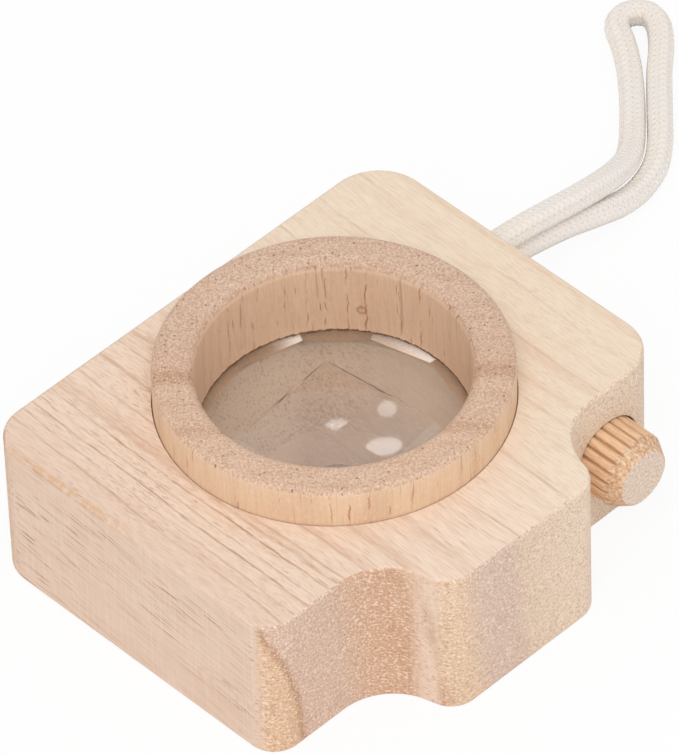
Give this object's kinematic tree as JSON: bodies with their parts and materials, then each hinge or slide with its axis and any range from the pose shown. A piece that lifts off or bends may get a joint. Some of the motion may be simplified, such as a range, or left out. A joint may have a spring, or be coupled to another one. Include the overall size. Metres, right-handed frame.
{
  "type": "toy camera",
  "caption": "Wooden toy camera with a turning ring that holds a faceted kaleidoscope lens, a sprung shutter button and a cotton wrist loop.",
  "frame": {"origin": "on the surface that the camera lies on, under the middle of its box, the strap cord left out", "axes": "+Z along the lens axis out of the front, +Y the camera's top with the hump, +X the grip side, away from the strap"},
  "size_m": [0.148, 0.0833, 0.0325],
  "materials": {
    "body_wood": "sanded, unvarnished",
    "ring_wood": "turned and sanded",
    "dowel_wood": "raw fluted dowel",
    "pin_wood": "raw dowel",
    "acrylic": "clear, polished facets",
    "spring_steel": "plain wire",
    "cotton": "braided cotton"
  },
  "bodies": {
    "camera": {"camera_body": "body_wood", "ring_pin_grip": "pin_wood", "ring_pin_strap": "pin_wood", "shutter_pin": "pin_wood", "shutter_spring": "spring_steel", "strap_cord": "cotton"},
    "lens": {"lens_ring": "ring_wood", "kaleidoscope_lens": "acrylic"},
    "shutter": {"shutter_button": "dowel_wood"}
  },
  "joints": [
    {"name": "lens_turn", "type": "hinge", "parent": "camera", "child": "lens", "pos_m": [-0.00025, -0.0042, 0.026], "axis": [0, 0, 1], "continuous": true},
    {"name": "shutter_press", "type": "slide", "parent": "camera", "child": "shutter", "axis": [0, -1, 0], "range_m": [0, 0.0025], "stiffness_N_per_m": 400, "springref_m": -0.002, "deforming": ["shutter_spring"]}
  ]
}
